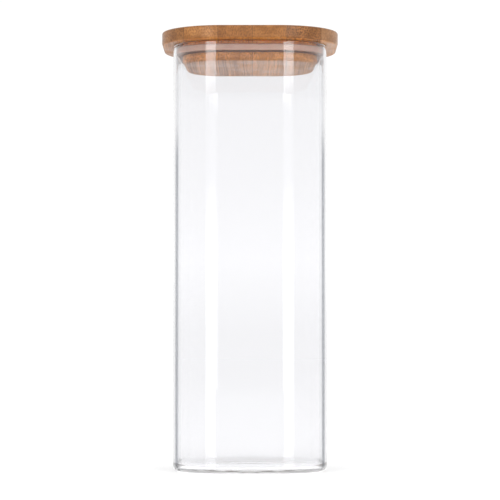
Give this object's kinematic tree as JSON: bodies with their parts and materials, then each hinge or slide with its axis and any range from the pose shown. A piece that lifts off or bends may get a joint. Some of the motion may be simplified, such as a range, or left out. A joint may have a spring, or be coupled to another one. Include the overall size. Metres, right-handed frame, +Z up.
{
  "type": "glass storage jar",
  "caption": "Tall clear glass storage jar with a square, round-cornered section and a bamboo plug lid sealed by a soft silicone ring; the lid pulls straight up.",
  "frame": {"origin": "centre of the jar's base, on the surface it stands on", "axes": "+Z up along the jar to the lid; -Y is the front; the lid's bamboo strips run along Y"},
  "size_m": [0.1148, 0.1148, 0.2852],
  "materials": {
    "clear_glass": "clear polished borosilicate glass",
    "silicone": "translucent satin silicone",
    "bamboo_golden": "satin-lacquered bamboo, golden strip",
    "bamboo_rose": "satin-lacquered bamboo, reddish strip",
    "bamboo_honey": "satin-lacquered bamboo, honey strip",
    "bamboo_dark": "satin-lacquered bamboo, dark strip with marked end grain",
    "bamboo_pale": "satin-lacquered bamboo, pale strip"
  },
  "bodies": {
    "jar": {"glass_jar": "clear_glass"},
    "lid": {"lid_plate_strip_1": "bamboo_golden", "lid_plate_strip_2": "bamboo_golden", "lid_plate_strip_3": "bamboo_rose", "lid_plate_strip_4": "bamboo_honey", "lid_plate_strip_5": "bamboo_dark", "lid_plate_strip_6": "bamboo_pale", "lid_plug_strip_1": "bamboo_rose", "lid_plug_strip_2": "bamboo_rose", "lid_plug_strip_3": "bamboo_honey", "lid_plug_strip_4": "bamboo_golden", "seal_ring": "silicone"}
  },
  "joints": [
    {"name": "lid_lift", "type": "slide", "parent": "jar", "child": "lid", "axis": [0, 0, 1], "range_m": [0, 0.045]}
  ]
}
